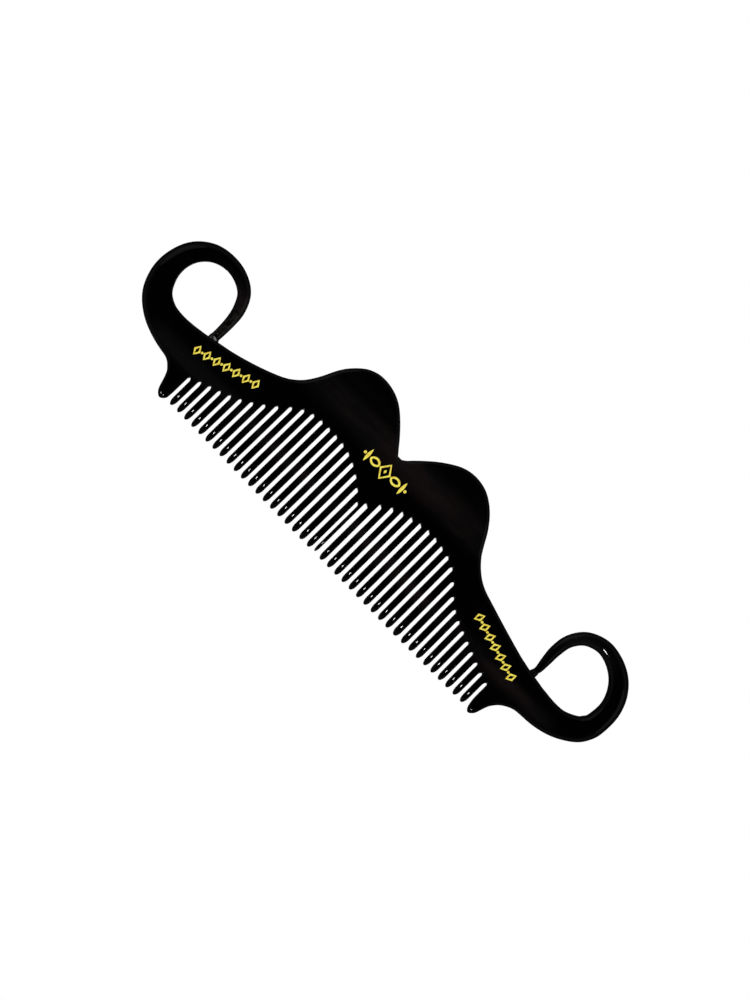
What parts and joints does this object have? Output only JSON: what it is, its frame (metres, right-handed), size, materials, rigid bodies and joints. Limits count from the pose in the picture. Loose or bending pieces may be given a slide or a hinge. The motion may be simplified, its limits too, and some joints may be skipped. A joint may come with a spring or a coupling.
{
  "type": "beard comb",
  "caption": "Flat moustache-shaped beard comb with a row of saw-cut teeth, two lobes on its back and a curled horn loop at each end.",
  "frame": {"origin": "middle of the outline's box, on the flat rear face that the comb lies on", "axes": "+X along the comb towards its right curl, +Y towards its back edge with the teeth on the -Y side, +Z out of the front face that carries the foil marks"},
  "size_m": [0.1402, 0.0378, 0.0041],
  "materials": {
    "acetate": "black plastic, taken from its look to be cellulose acetate, sawn and polished to a high gloss",
    "cement": "black, rough, with small grey specks; taken to be acetate softened with solvent",
    "foil": "bright yellow-gold marking, taken to be hot-stamped foil"
  },
  "bodies": {
    "root": {"spine": "acetate", "left_curl": "acetate", "right_curl": "acetate", "left_end_guard": "acetate", "right_end_guard": "acetate", "tooth_01": "acetate", "tooth_02": "acetate", "tooth_03": "acetate", "tooth_04": "acetate", "tooth_05": "acetate", "tooth_06": "acetate", "tooth_07": "acetate", "tooth_08": "acetate", "tooth_09": "acetate", "tooth_10": "acetate", "tooth_11": "acetate", "tooth_12": "acetate", "tooth_13": "acetate", "tooth_14": "acetate", "tooth_15": "acetate", "tooth_16": "acetate", "tooth_17": "acetate", "tooth_18": "acetate", "tooth_19": "acetate", "tooth_20": "acetate", "tooth_21": "acetate", "tooth_22": "acetate", "tooth_23": "acetate", "tooth_24": "acetate", "tooth_25": "acetate", "tooth_26": "acetate", "tooth_27": "acetate", "tooth_28": "acetate", "tooth_29": "acetate", "tooth_30": "acetate", "tooth_31": "acetate", "tooth_32": "acetate", "tooth_33": "acetate", "tooth_34": "acetate", "tooth_35": "acetate", "tooth_36": "acetate", "tooth_37": "acetate", "tooth_38": "acetate", "tooth_39": "acetate", "tooth_40": "acetate", "tooth_41": "acetate", "left_tip_bond": "cement", "right_tip_bond": "cement", "left_foil_mark": "foil", "middle_foil_mark": "foil", "right_foil_mark": "foil"}
  },
  "joints": []
}
